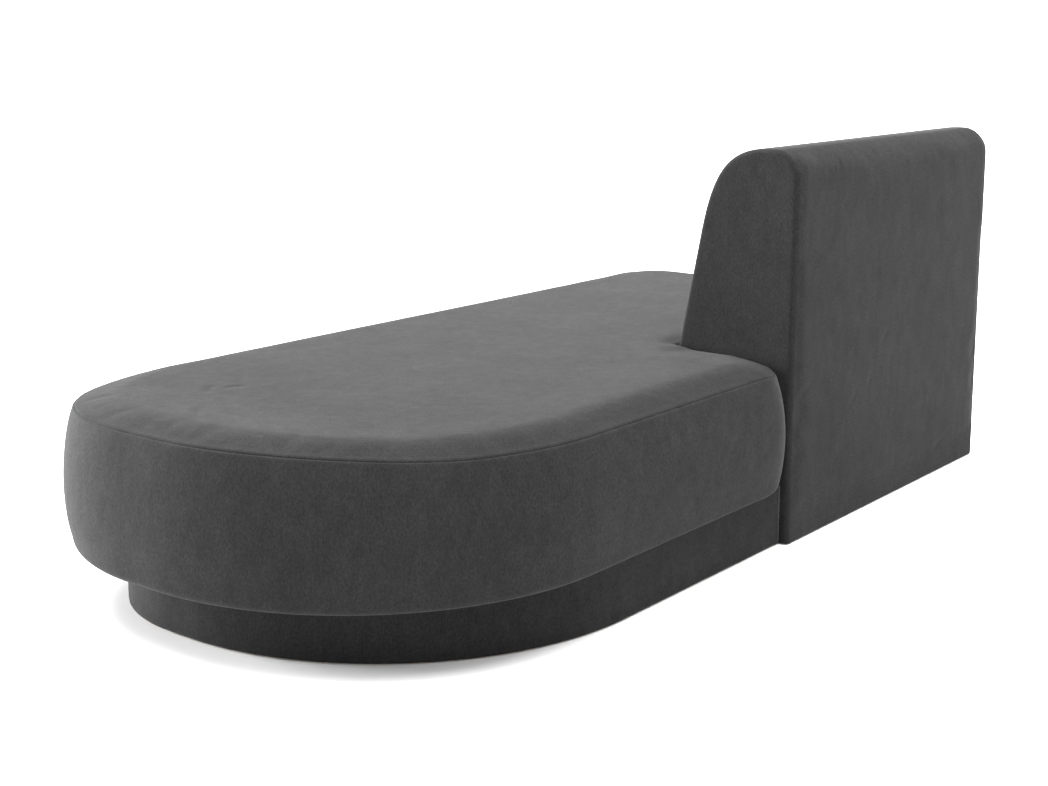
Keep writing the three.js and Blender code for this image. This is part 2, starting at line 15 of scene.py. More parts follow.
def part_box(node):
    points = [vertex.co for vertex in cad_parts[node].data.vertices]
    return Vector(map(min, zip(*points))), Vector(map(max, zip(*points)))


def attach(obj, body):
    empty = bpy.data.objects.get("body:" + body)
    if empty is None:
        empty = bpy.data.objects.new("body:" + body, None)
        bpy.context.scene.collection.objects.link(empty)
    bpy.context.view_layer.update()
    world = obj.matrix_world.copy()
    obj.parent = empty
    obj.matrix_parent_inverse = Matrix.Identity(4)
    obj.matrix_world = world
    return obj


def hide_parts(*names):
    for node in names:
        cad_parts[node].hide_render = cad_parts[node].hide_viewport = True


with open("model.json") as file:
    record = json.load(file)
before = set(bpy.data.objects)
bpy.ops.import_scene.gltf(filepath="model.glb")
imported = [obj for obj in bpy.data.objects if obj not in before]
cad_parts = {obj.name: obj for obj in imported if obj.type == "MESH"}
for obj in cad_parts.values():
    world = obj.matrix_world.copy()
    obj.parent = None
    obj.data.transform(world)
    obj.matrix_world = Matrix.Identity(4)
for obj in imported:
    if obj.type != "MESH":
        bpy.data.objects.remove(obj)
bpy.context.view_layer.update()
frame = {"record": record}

BODY = "root"

# ---- Places, from the frame ----
BAND_LOW, BAND_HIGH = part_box("seat_side_band")
TOP_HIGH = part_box("seat_top_cover")[1]
BACK_LOW, BACK_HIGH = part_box("backrest_cover")
END_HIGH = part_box("backrest_end_cover_2")[1]
PLINTH_LOW, PLINTH_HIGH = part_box("plinth_cover")
CLOTH_LOW, CLOTH_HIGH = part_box("seat_base_cloth")

LEFT, FRONT, FOOT = BAND_LOW
RIGHT, REAR, SEAM_Z = BAND_HIGH
CROWN_Z = TOP_HIGH[2]
BACK_END = END_HIGH[0]
BACK_FRONT, BACK_REAR = BACK_LOW[1], BACK_HIGH[1]
BACK_DEPTH = BACK_REAR - BACK_FRONT
BACK_TOP = BACK_HIGH[2]
FLOOR_GAP = PLINTH_LOW[2]

# ---- Shapes of the upholstery ----
CORNER_R, LOUNGE_FRONT_R, LOUNGE_REAR_R = 0.171, 0.446, 0.556
TURN_IN_R, TURN_IN_START = 0.125, 0.105  # seat corner beside the backrest
TURN_IN_WIDEN = 1.25  # how many times wider the rounded edge is where it meets the backrest
FOOT_INSET, FOOT_ROUND = 0.009, 0.023
BULGE_Z = 0.245  # where the side is widest
BAND_REAR_Y, BACK_SIDE_X = REAR - 0.002, -0.151  # the folds on the seat's rear and backrest's end
SEAM_INSET, CROWN_INSET = 0.023, 0.112
LOUNGE_RISE, RISE_FROM = 0.017, 0.7875  # the pad lifts a little towards the lounge end
DIP_DEPTH, DIP_LENGTH, DIP_WIDTH = 0.006, 0.16, 0.06  # the cover is pulled down beside the backrest
DIP_FOOT_Z = 0.30
SEAM_DEPTH, SEAM_WIDTH = 0.0017, 0.0017
RIDGE_HEIGHT, RIDGE_AT, RIDGE_WIDTH = 0.0006, 0.006, 0.0035  # the cloth swells beside the seam
TUCK_ROUND = 0.009  # where the top panel turns down beside the backrest
PLINTH_CORNER_R, PLINTH_FRONT_R, PLINTH_REAR_R = 0.114, 0.335, 0.559
BACK_LEAN = math.radians(11.7)
BEND_Z = 0.659
REAR_TOP_R = 0.060
FRONT_STOP = 0.01  # the front is upright to this far below the seat's crown
CURL_FOOT, CURL_CROWN, CURL_AT = 0.125, 0.100, 0.070
END_ROUND = 0.012  # the backrest's sewn ends
FABRIC = 0.0012
BASE_CLOTH, BASE_CLOTH_RIPPLE = 0.0006, 0.0004  # thickness, and how far it waves
CLOTH_INSET = 0.036  # the side band turns under the seat this far
PROFILE_STEP = 0.001
EDGE_SOFTNESS, EDGE_REACH = 0.008, 0.045  # how the foam rounds the edge that the seam follows
FOLD_FADE = 1.6  # a fold is at full depth over most of its length
CAD_GAP = 0.0003  # between touching parts

# ---- Spacing of the meshes ----
ROW_SPACING, STATION_SPACING, TOP_SPACING = 0.013, 0.012, 0.014
FOOT_ROWS = np.append([0, 0.004], np.linspace(0.008, 0.036, 6))  # round the seat's lower edge
FIRST_ROW, SEAM_GUARD = 0.046, 0.020  # the even rows of the side, up to short of the seam
SEAM_ROWS = [0.0009, 0.002, 0.004, 0.007, 0.011, 0.016]  # fine rows on each side of the seam
FIRST_TOP_ROW, CROWN_GUARD = 0.024, 0.004  # the even rows past the seam, up to short of the crown
START_STATIONS = [0, 0.001, 0.0025, 0.005, 0.0085]  # fine stations where the band is tucked in
BACK_SPACING, BACK_END_STEPS = 0.011, 7
BASE_CLOTH_SPACING = 0.03

# ---- Cloth simulation ----
FORM_SPACING, FORM_END_STEPS = 0.018, 3  # mesh of the forms that swell
PRESSURE, CLOTH_QUALITY, SWELL_FRAMES = 4, 4, 20
SEAT_SWELL, BACK_SWELL = (0.006, 0.003), (0.0045, 0.0003)  # furthest out and in of a point
NEAREST = 8  # points of the form that move one point of the cover
HELD_AT_SEAM, HELD_AT_FOOT = 0.012, 0.012
HELD_AT_BACKREST, BACKREST_FADE = 0.004, 0.05
BACK_FOOT, BACK_FOOT_FADE, HELD_ABOVE_SEAT = 0.01, 0.12, 0.02

# ---- Looks ----
VELVET_BASE = (0.0202, 0.0202, 0.0207)
VELVET_SHEEN = (0.0850, 0.0850, 0.0868)
CLOUD_DARK, BRUSHED_DARK, NAP_DARK = (0.86,) * 3, (0.80,) * 3, (0.50,) * 3  # tone where darkest
FLOOR_ALBEDO, FLOOR_HALF = 0.75, 120
WORLD_STRENGTH = 1.3
LIGHTS = {  # where each shines from, its spread in degrees and its strength
    "overhead": ((0, 0, 1), 60, 9.2),
    "lounge_side": ((0.33, -1, 0.14), 30, 14.0),
    "rear": ((0.1, 0.6, 1), 50, 0.8),
}

# ---- Camera, in metres and degrees ----
CAMERA_PLACE = (2.7518, 2.1002, 1.0792)
CAMERA_HEADING = 128.4  # turned from facing +Y
CAMERA_PITCH = -10.23
CAMERA_LENS = 55.25
CAMERA_SHIFT = -0.0717


# ---- Outlines ----
def arc(centre, radius, start, stop, spacing):
    """Stations (x, y, inward x, inward y) along an arc, in degrees."""
    steps = max(2, round(abs(math.radians(stop - start)) * radius / spacing))
    angles = np.radians(np.linspace(start, stop, steps + 1))
    c, s = np.cos(angles), np.sin(angles)
    return np.column_stack([centre[0] + radius * c, centre[1] + radius * s, -c, -s])


def run(a, b, inward, spacing):
    """Stations along a straight stretch."""
    steps = max(1, round(math.dist(a, b) / spacing))
    part = np.linspace(0, 1, steps + 1)[:, None]
    points = np.array(a) * (1 - part) + np.array(b) * part
    return np.hstack([points, np.tile(inward, (steps + 1, 1))])


def rounded_path(edges, radii, turn_in, spacing):
    """From the backrest along the left side, front, lounge end and rear, to the turn-in."""
    left, right, front, rear = edges
    corner, lounge_front, lounge_rear = radii
    parts = [
        run((left, BACK_FRONT), (left, front + corner), (1, 0), spacing),
        arc((left + corner, front + corner), corner, 180, 270, spacing),
        run((left + corner, front), (right - lounge_front, front), (0, 1), spacing),
        arc((right - lounge_front, front + lounge_front), lounge_front, 270, 360, spacing),
        run((right, front + lounge_front), (right, rear - lounge_rear), (-1, 0), spacing),
        arc((right - lounge_rear, rear - lounge_rear), lounge_rear, 0, 90, spacing),
        run((right - lounge_rear, rear), tuple(turn_in[0][:2]), (0, -1), spacing),
        turn_in,
    ]
    stations = [parts[0]] + [part[1:] for part in parts[1:]]
    return np.vstack(stations)


def seat_path(spacing):
    centre = (BACK_END + TURN_IN_START, REAR - TURN_IN_R)
    stop = 180 - math.degrees(math.acos(TURN_IN_START / TURN_IN_R))
    turn = arc(centre, TURN_IN_R, 90, stop, spacing)
    part = np.linspace(0, 1, len(turn))[:, None]
    turn[:, 2:] = turn[:, 2:] * (1 - part) + np.array([0, -TURN_IN_WIDEN]) * part
    return rounded_path(
        (LEFT, RIGHT, FRONT, REAR), (CORNER_R, LOUNGE_FRONT_R, LOUNGE_REAR_R), turn, spacing
    )


def plinth_path(spacing):
    low, high = PLINTH_LOW, PLINTH_HIGH
    end = np.array([[BACK_END + CAD_GAP, high[1], 0, -1]])
    radii = (PLINTH_CORNER_R, PLINTH_FRONT_R, PLINTH_REAR_R)
    return rounded_path((low[0], high[0], low[1], high[1]), radii, end, spacing)


def lengths_along(points):
    """Distance of each point of a line from its start."""
    steps = np.linalg.norm(np.diff(points, axis=0), axis=1)
    return np.concatenate([[0], np.cumsum(steps)])


def smoothstep(x):
    x = np.clip(x, 0, 1)
    return x * x * (3 - 2 * x)


# ---- Mesh helpers ----
def new_object(name, verts, faces, smooth=True):
    mesh = bpy.data.meshes.new(name)
    mesh.from_pydata([tuple(v) for v in verts], [], [tuple(f) for f in faces])
    mesh.validate()
    mesh.update()
    mesh.polygons.foreach_set("use_smooth", [smooth] * len(mesh.polygons))
    obj = bpy.data.objects.new(name, mesh)
    bpy.context.scene.collection.objects.link(obj)
    return obj


def apply_modifiers(obj):
    graph = bpy.context.evaluated_depsgraph_get()
    graph.update()
    mesh = bpy.data.meshes.new_from_object(obj.evaluated_get(graph))
    obj.modifiers.clear()
    obj.data = mesh


def points_of(obj):
    points = np.empty(len(obj.data.vertices) * 3)
    obj.data.vertices.foreach_get("co", points)
    return points.reshape(-1, 3)


def normals_of(obj):
    normals = np.empty(len(obj.data.vertices) * 3)
    obj.data.vertex_normals.foreach_get("vector", normals)
    return normals.reshape(-1, 3)


def set_points(obj, points):
    obj.data.vertices.foreach_set("co", points.ravel())
    obj.data.update()


def tree_of(points):
    tree = kdtree.KDTree(len(points))
    for i, place in enumerate(points):
        tree.insert(place, i)
    tree.balance()
    return tree


def strip_faces(rows, columns):
    """Quads over a grid stored row after row."""
    r, c = np.meshgrid(np.arange(rows - 1), np.arange(columns - 1), indexing="ij")
    a = r * columns + c
    return np.stack([a, a + 1, a + columns + 1, a + columns], axis=-1).reshape(-1, 4)


def upright_strip(xy, heights):
    """A wall of quads: a row of plan points at each height, given row by row."""
    z = np.broadcast_to(heights[:, None, None], (*xy.shape[:2], 1))
    grid = np.concatenate([xy, z], axis=2).reshape(-1, 3)
    return grid, strip_faces(*xy.shape[:2])


def fill(outline, spacing):
    """Triangles over a closed plan outline, with a lattice of points inside it."""
    outline = np.asarray(outline)
    low, high = outline.min(axis=0), outline.max(axis=0)
    rise = spacing * math.sqrt(3) / 2
    lattice = []
    for j, y in enumerate(np.arange(low[1] + rise, high[1], rise)):
        offset = spacing / 2 * (j % 2)
        lattice += [(x, y) for x in np.arange(low[0] + offset + spacing / 2, high[0], spacing)]
    lattice = np.array(lattice)
    lattice = lattice[inside(lattice, outline, 0.55 * spacing)]
    coords = [Vector(p) for p in np.vstack([outline, lattice])]
    count = len(outline)
    edges = [(i, (i + 1) % count) for i in range(count)]
    verts, _, faces, _, _, _ = delaunay_2d_cdt(coords, edges, [list(range(count))], 1, 1e-7)
    return np.array([tuple(v) for v in verts]), faces


def inside(points, outline, margin):
    """Which points lie inside an outline and at least margin from its edge."""
    a, b = outline, np.roll(outline, -1, axis=0)
    keep = np.zeros(len(points), bool)
    nearest = np.full(len(points), np.inf)
    for (x0, y0), (x1, y1) in zip(a, b):
        crosses = (y0 > points[:, 1]) != (y1 > points[:, 1])
        if y0 != y1:
            at = x0 + (points[:, 1] - y0) * (x1 - x0) / (y1 - y0)
            keep ^= crosses & (points[:, 0] < at)
        along = np.array([x1 - x0, y1 - y0])
        length = max(along @ along, 1e-18)
        part = np.clip(((points - (x0, y0)) @ along) / length, 0, 1)
        gap = points - (np.array([x0, y0]) + part[:, None] * along)
        nearest = np.minimum(nearest, np.hypot(gap[:, 0], gap[:, 1]))
    return keep & (nearest > margin)


def joined_object(name, patches):
    """One object from (verts, faces) patches, with their shared edges merged."""
    verts, faces, start = [], [], 0
    for patch_verts, patch_faces in patches:
        verts += [tuple(v) for v in patch_verts]
        faces += [tuple(int(i) + start for i in f) for f in patch_faces]
        start += len(patch_verts)
    obj = new_object(name, verts, faces)
    bm = bmesh.new()
    bm.from_mesh(obj.data)
    bmesh.ops.remove_doubles(bm, verts=bm.verts, dist=2e-5)
    bmesh.ops.recalc_face_normals(bm, faces=bm.faces)
    bm.to_mesh(obj.data)
    bm.free()
    return obj


def subdivided(obj):
    modifier = obj.modifiers.new("subdivide", "SUBSURF")
    modifier.levels = modifier.render_levels = 1
    modifier.boundary_smooth = "PRESERVE_CORNERS"
    apply_modifiers(obj)


def thickened(obj, thickness=FABRIC):
    modifier = obj.modifiers.new("fabric", "SOLIDIFY")
    modifier.thickness = thickness
    modifier.offset = -1
    apply_modifiers(obj)


# ---- Fine shape of cloth, along the normals ----
def ripple(points, size, amount, seed):
    """Smooth noise; size is in metres along each axis."""
    scale = 1 / np.asarray(size)
    shift = Vector((seed * 7.31, seed * 3.17, seed * 5.77))
    return amount * np.array([noise.noise(Vector(p) + shift) for p in points * scale])


def crease(points, start, stop, width, depth):
    """A pulled fold from start to stop: a shallow valley between two low ridges."""
    start, stop = np.array(start), np.array(stop)
    along = stop - start
    part = ((points - start) @ along) / (along @ along)
    near = start + np.clip(part, 0, 1)[:, None] * along
    reach = np.linalg.norm(points - near, axis=1) / width
    fade = np.clip(FOLD_FADE * np.sin(np.pi * np.clip(part, 0, 1)), 0, 1)
    return -depth * fade * (1 - reach**2) * np.exp(-(reach**2))


# Where the cloth is pulled: start, end, width and depth of each faint fold.
SEAT_FOLDS = [
    ((0.943, 0.379, 0.225), (0.933, 0.388, 0.245), 0.009, 0.0016),
    ((0.933, 0.388, 0.245), (0.926, 0.394, 0.224), 0.009, 0.0016),
    ((0.923, 0.397, 0.264), (0.844, 0.456, 0.261), 0.010, 0.0008),
    ((0.829, 0.464, 0.247), (0.789, 0.485, 0.256), 0.010, 0.0009),
    ((0.983, 0.335, 0.281), (0.950, 0.371, 0.284), 0.009, 0.0008),
    ((0.153, BAND_REAR_Y, 0.257), (0.110, BAND_REAR_Y, 0.296), 0.011, 0.0010),
    ((0.057, BAND_REAR_Y, 0.220), (-0.020, BAND_REAR_Y, 0.249), 0.011, 0.0010),
    ((0.118, BAND_REAR_Y, 0.219), (0.077, BAND_REAR_Y, 0.236), 0.010, 0.0008),
    ((0.273, BAND_REAR_Y, 0.210), (0.240, BAND_REAR_Y, 0.165), 0.010, 0.0009),
    ((0.769, -0.203, 0.408), (0.728, -0.180, 0.408), 0.012, 0.0012),
    ((0.830, -0.144, 0.412), (0.933, 0.022, 0.414), 0.013, 0.0010),
    ((0.822, -0.189, 0.412), (0.761, -0.235, 0.410), 0.012, 0.0012),
    ((0.898, -0.114, 0.414), (1.036, 0.028, 0.408), 0.014, 0.0008),
]
BACK_FOLDS = [
    ((-0.324, BACK_REAR, 0.780), (-0.337, BACK_REAR, 0.808), 0.008, 0.0010),
    ((-0.337, BACK_REAR, 0.694), (-0.373, BACK_REAR, 0.725), 0.009, 0.0010),
    ((-0.559, BACK_REAR, 0.375), (-0.586, BACK_REAR, 0.405), 0.009, 0.0012),
    ((-0.180, BACK_REAR, 0.316), (-0.236, BACK_REAR, 0.345), 0.010, 0.0012),
    ((-0.398, BACK_REAR, 0.253), (-0.443, BACK_REAR, 0.285), 0.010, 0.0011),
    ((-0.491, BACK_REAR, 0.288), (-BACK_REAR, BACK_REAR, 0.313), 0.009, 0.0010),
    ((-0.592, BACK_REAR, 0.288), (-0.646, BACK_REAR, 0.261), 0.009, 0.0008),
    ((-1.059, BACK_REAR, 0.259), (-1.103, BACK_REAR, 0.284), 0.010, 0.0010),
    ((-0.858, BACK_REAR, 0.060), (-0.957, BACK_REAR, 0.091), 0.011, 0.0009),
    ((-0.796, BACK_REAR, 0.246), (-1.090, BACK_REAR, 0.210), 0.011, 0.0007),
    ((BACK_SIDE_X, 0.412, 0.800), (BACK_SIDE_X, 0.435, 0.757), 0.009, 0.0011),
    ((BACK_SIDE_X, 0.436, 0.792), (BACK_SIDE_X, 0.439, 0.761), 0.008, 0.0009),
]


def folded(obj, folds):
    points = points_of(obj)
    points += normals_of(obj) * sum(crease(points, *fold) for fold in folds)[:, None]
    set_points(obj, points)


def backrest_gap(points):
    """Distance in plan from the backrest's footprint."""
    over_x = np.maximum(points[:, 0] - BACK_END, 0)
    over_y = np.maximum(BACK_FRONT - points[:, 1], 0)
    return np.hypot(over_x, over_y)


def tuck(points, normals, radius):
    """Rolls a surface inwards where it meets the backrest."""
    short = radius - np.clip(backrest_gap(points), 0, radius)
    drop = radius - np.sqrt(np.maximum(radius**2 - short**2, 0))
    return points - normals * drop[:, None]


# ---- Cloth simulation ----
def swell(obj, form, held, caps):
    """Moves a cover the way a closed form of it swells under pressure, held where it is sewn."""
    start, out = points_of(form), normals_of(form)
    reach = np.sum((inflated(form, held)[: len(start)] - start) * out, axis=1)
    cap = np.where(reach > 0, *caps)
    move = out * (cap * np.tanh(reach / cap))[:, None]
    tree = tree_of(start)
    points = points_of(obj)
    for i, place in enumerate(points):
        near = tree.find_n(place, NEAREST)
        weights = np.array([math.exp(-((hit[2] / FORM_SPACING) ** 2)) for hit in near]) + 1e-9
        points[i] += weights @ move[[hit[1] for hit in near]] / weights.sum()
    set_points(obj, points)
    bpy.data.objects.remove(form)


def inflated(form, held):
    """The points of a form after its openings are closed and air is let in."""
    bm = bmesh.new()
    bm.from_mesh(form.data)
    bmesh.ops.holes_fill(bm, edges=[edge for edge in bm.edges if edge.is_boundary], sides=0)
    bmesh.ops.recalc_face_normals(bm, faces=bm.faces)
    bm.to_mesh(form.data)
    bm.free()
    group = form.vertex_groups.new(name="held")
    for i, weight in enumerate(held):
        group.add([i], float(weight), "REPLACE")
    modifier = form.modifiers.new("cloth", "CLOTH")
    modifier.settings.quality = CLOTH_QUALITY
    modifier.settings.use_pressure = True
    modifier.settings.uniform_pressure_force = PRESSURE
    modifier.settings.vertex_group_mass = group.name
    modifier.settings.effector_weights.gravity = 0
    modifier.collision_settings.use_collision = False
    for step in range(1, SWELL_FRAMES + 1):
        bpy.context.scene.frame_set(step)
    apply_modifiers(form)
    bpy.context.scene.frame_set(1)
    return points_of(form)


# ---- Seat ----
def softened(curve, past):
    """Rounds off the edge that the seam follows; past is the distance past the seam."""
    sigma = EDGE_SOFTNESS / PROFILE_STEP
    half = 30
    taps = np.exp(-0.5 * (np.arange(-half, half + 1) / sigma) ** 2)
    taps /= taps.sum()
    padded = [np.pad(curve[:, k], half, "edge") for k in (0, 1)]
    soft = np.column_stack([np.convolve(column, taps, "valid") for column in padded])
    weight = np.exp(-((past / EDGE_REACH) ** 4))[:, None]
    return curve * (1 - weight) + soft * weight


def seat_profile():
    """(inset, height, distance past the seam) from the underside, up the side, to the crown."""
    angles = np.linspace(-math.pi / 2, 0, 12)
    foot_top = FOOT + FOOT_ROUND
    foot = np.column_stack([
        FOOT_INSET + FOOT_ROUND - FOOT_ROUND * np.cos(angles),
        foot_top + FOOT_ROUND * np.sin(angles),
    ])
    z = np.arange(foot_top, SEAM_Z, PROFILE_STEP)[1:]
    low = FOOT_INSET * np.clip((BULGE_Z - z) / (BULGE_Z - foot_top), 0, 1) ** 2
    high = SEAM_INSET * np.clip((z - BULGE_Z) / (SEAM_Z - BULGE_Z), 0, 1) ** 2
    side = np.column_stack([low + high, z])
    part = np.linspace(0, 1, 90)
    crown = np.column_stack([
        SEAM_INSET + (CROWN_INSET - SEAM_INSET) * part,
        SEAM_Z + (CROWN_Z - SEAM_Z) * np.sin(part * math.pi / 2),
    ])
    lip = np.array([[CLOTH_INSET, FOOT]])
    dense = np.vstack([lip, foot, side, crown])
    length = lengths_along(dense)
    seam_at = length[len(lip) + len(foot) + len(side)]
    even = np.append(np.arange(0, length[-1], PROFILE_STEP), length[-1])
    curve = np.column_stack([np.interp(even, length, dense[:, k]) for k in (0, 1)])
    curve = softened(curve, even - seam_at)
    past = even - seam_at
    rows = np.concatenate([
        FOOT_ROWS - seam_at,
        np.arange(FIRST_ROW, seam_at - SEAM_GUARD, ROW_SPACING) - seam_at,
        [-row for row in reversed(SEAM_ROWS)] + [0] + SEAM_ROWS,
        np.arange(FIRST_TOP_ROW, past[-1] - CROWN_GUARD, ROW_SPACING),
        [past[-1]],
    ])
    inset = np.interp(rows, past, curve[:, 0])
    height = np.interp(rows, past, curve[:, 1])
    slope = np.gradient(np.column_stack([inset, height]), rows, axis=0)
    slope /= np.linalg.norm(slope, axis=1)[:, None]
    groove = SEAM_DEPTH * np.exp(-((rows / SEAM_WIDTH) ** 2))
    groove -= RIDGE_HEIGHT * np.exp(-(((np.abs(rows) - RIDGE_AT) / RIDGE_WIDTH) ** 2))
    inset += slope[:, 1] * groove
    height -= slope[:, 0] * groove
    return inset, height, rows


def lounge_rise(points):
    """How far the top lifts towards the lounge end."""
    rise = LOUNGE_RISE * smoothstep((points[:, 0] - RISE_FROM) / (RIGHT - RISE_FROM))
    return rise * smoothstep((points[:, 2] - BULGE_Z) / (SEAM_Z - BULGE_Z))


def side_dip(points):
    """The top sinks a little where the cover is pulled down beside the backrest."""
    near = 1 - smoothstep((points[:, 0] - BACK_END) / DIP_LENGTH)
    beside = smoothstep((points[:, 1] - BACK_FRONT) / DIP_WIDTH)
    high = smoothstep((points[:, 2] - DIP_FOOT_Z) / (SEAM_Z - DIP_FOOT_Z))
    return DIP_DEPTH * near * beside * high


def seat_surface(name, stations, inset, height, spacing):
    """The side band with the top panel, open underneath and towards the backrest."""
    xy = stations[None, :, :2] + stations[None, :, 2:] * inset[:, None, None]
    band = upright_strip(xy, height)
    ring = xy[-1]
    step = spacing * 0.45
    down = np.arange(ring[-1, 1] - step, BACK_FRONT, -step)
    along = np.arange(BACK_END, ring[0, 0] + step / 2, -step)
    notch = [(BACK_END, y) for y in down] + [(x, BACK_FRONT) for x in along]
    verts, faces = fill(np.vstack([ring, notch]), spacing)
    top = (np.column_stack([verts, np.full(len(verts), height[-1])]), faces)
    return joined_object(name, [band, top])


def rim_distance(points):
    """Distance in plan from the seat's outer path."""
    tree = tree_of([(x, y, 0) for x, y in seat_path(0.02)[:, :2]])
    return np.array([tree.find((x, y, 0))[2] for x, y, _ in points])


def seat_form():
    """The seat's cover on an even mesh, with how firmly each point is held."""
    inset, height, rows = seat_profile()
    even = np.append(np.arange(rows[0], rows[-1] - FORM_SPACING / 2, FORM_SPACING), rows[-1])
    inset, height = np.interp(even, rows, inset), np.interp(even, rows, height)
    form = seat_surface("seat_form", seat_path(FORM_SPACING), inset, height, FORM_SPACING)
    points = points_of(form)
    from_seam = np.hypot(points[:, 2] - SEAM_Z, rim_distance(points) - SEAM_INSET)
    held = np.exp(-((from_seam / HELD_AT_SEAM) ** 2))
    held = np.maximum(held, points[:, 2] < FOOT + HELD_AT_FOOT)
    near = 1 - smoothstep((backrest_gap(points) - HELD_AT_BACKREST) / BACKREST_FADE)
    return form, np.maximum(held, near)


def seat_cover():
    stations = seat_path(STATION_SPACING)
    first = np.array([(LEFT, BACK_FRONT - near, 1, 0) for near in START_STATIONS])
    last_shares = np.array([[0.75], [0.5], [0.25], [0.1], [0]])
    last = stations[-1] + (stations[-2] - stations[-1]) * last_shares
    stations = np.vstack([first, stations[1:-1], last])
    inset, height, _ = seat_profile()
    obj = seat_surface("seat_cover", stations, inset, height, TOP_SPACING)
    subdivided(obj)
    swell(obj, *seat_form(), SEAT_SWELL)
    points = points_of(obj)
    points[:, 2] += lounge_rise(points) - side_dip(points)
    set_points(obj, points)
    folded(obj, SEAT_FOLDS)
    return obj


# ---- Backrest ----
def back_curve(spacing):
    """(forward, height) with inward directions, from the front's foot over the top to the rear's."""
    bend = np.array([BACK_DEPTH - math.tan(BACK_LEAN) * (BEND_Z - CROWN_Z), BEND_Z])
    lean = np.array([-math.sin(BACK_LEAN), math.cos(BACK_LEAN)])
    top = np.array([CURL_AT, BACK_TOP])
    handles = [bend, bend + CURL_FOOT * lean, top + (CURL_CROWN, 0), top]
    t = np.linspace(0, 1, 60)[:, None]
    curl = sum(
        weight * (1 - t) ** (3 - k) * t**k * handle
        for k, (weight, handle) in enumerate(zip((1, 3, 3, 1), handles))
    )
    angles = np.linspace(math.pi / 2, math.pi, 30)
    rear = np.column_stack([
        REAR_TOP_R + REAR_TOP_R * np.cos(angles), BACK_TOP - REAR_TOP_R + REAR_TOP_R * np.sin(angles)
    ])
    front = [[BACK_DEPTH, FLOOR_GAP], [BACK_DEPTH, CROWN_Z - FRONT_STOP]]
    dense = np.vstack([front, curl, rear, [[0, FLOOR_GAP]]])
    length = lengths_along(dense)
    at = np.linspace(0, length[-1], round(length[-1] / spacing) + 1)
    curve = np.column_stack([np.interp(at, length, dense[:, k]) for k in (0, 1)])
    along = np.gradient(curve, axis=0)
    along /= np.linalg.norm(along, axis=1)[:, None]
    inward = np.column_stack([-along[:, 1], along[:, 0]])
    return curve, inward


def backrest_surface(name, spacing, end_steps):
    """The outline run from end to end, rounded into a flat panel at each; open underneath."""
    curve, inward = back_curve(spacing)
    angles = np.linspace(0, math.pi / 2, end_steps)
    rounding = [(END_ROUND * (1 - math.sin(a)), END_ROUND * (1 - math.cos(a))) for a in angles]
    count = round((BACK_END - LEFT - 2 * END_ROUND) / (1.15 * spacing))
    span = np.linspace(LEFT + END_ROUND, BACK_END - END_ROUND, count)[1:-1]
    rows = [(inset, LEFT + x) for inset, x in rounding]
    rows += [(0, x) for x in span]
    rows += [(inset, BACK_END - x) for inset, x in reversed(rounding)]
    grid = []
    for inset, x in rows:
        moved = curve + inward * inset
        grid.append(np.column_stack([np.full(len(moved), x), BACK_REAR - moved[:, 0], moved[:, 1]]))
    patches = [(np.vstack(grid), strip_faces(len(rows), len(curve)))]
    edge = curve + inward * END_ROUND
    base = np.arange(edge[-1, 0] + spacing, edge[0, 0] - spacing / 2, spacing)
    outline = np.vstack([edge, np.column_stack([base, np.full(len(base), FLOOR_GAP)])])
    verts, faces = fill(outline, 1.25 * spacing)
    for x in (LEFT, BACK_END):
        side = np.column_stack([np.full(len(verts), x), BACK_REAR - verts[:, 0], verts[:, 1]])
        patches.append((side, faces))
    return joined_object(name, patches)


def backrest_form():
    """The backrest's cover on an even mesh, with how firmly each point is held."""
    form = backrest_surface("backrest_form", FORM_SPACING, FORM_END_STEPS)
    points = points_of(form)
    held = 1 - smoothstep((points[:, 2] - FLOOR_GAP - BACK_FOOT) / BACK_FOOT_FADE)
    at_front = points[:, 1] < BACK_FRONT + HELD_AT_BACKREST
    against_seat = at_front & (points[:, 2] < CROWN_Z + HELD_ABOVE_SEAT)
    return form, np.maximum(held, against_seat)


def backrest_cover():
    obj = backrest_surface("backrest_cover_cloth", BACK_SPACING, BACK_END_STEPS)
    subdivided(obj)
    swell(obj, *backrest_form(), BACK_SWELL)
    folded(obj, BACK_FOLDS)
    return obj


# ---- Plinth ----
def plinth_cover():
    stations = plinth_path(STATION_SPACING)
    heights = np.linspace(PLINTH_LOW[2], PLINTH_HIGH[2], 13)
    xy = np.broadcast_to(stations[None, :, :2], (len(heights), len(stations), 2))
    obj = joined_object("plinth_cover_cloth", [upright_strip(xy, heights)])
    subdivided(obj)
    return obj


# ---- Materials ----
def material(name, base, roughness, **sockets):
    mat = bpy.data.materials.new(name)
    mat.use_nodes = True
    shader = mat.node_tree.nodes["Principled BSDF"]
    shader.inputs["Base Color"].default_value = (*base, 1)
    shader.inputs["Roughness"].default_value = roughness
    for socket, value in sockets.items():
        shader.inputs[socket.replace("_", " ")].default_value = value
    mat.diffuse_color = (*base, 1)
    return mat, mat.node_tree, shader


def add_node(tree, kind, inputs=(), **settings):
    node = tree.nodes.new(kind)
    for key, value in settings.items():
        setattr(node, key, value)
    for socket, value in dict(inputs).items():
        if isinstance(value, bpy.types.NodeSocket):
            tree.links.new(value, node.inputs[socket])
        else:
            node.inputs[socket].default_value = value
    return node


def placed(tree, scale=(1, 1, 1)):
    """Object coordinates, stretched by scale along each axis."""
    where = add_node(tree, "ShaderNodeTexCoord")
    return add_node(
        tree, "ShaderNodeMapping", {"Vector": where.outputs["Object"], "Scale": scale}
    ).outputs["Vector"]


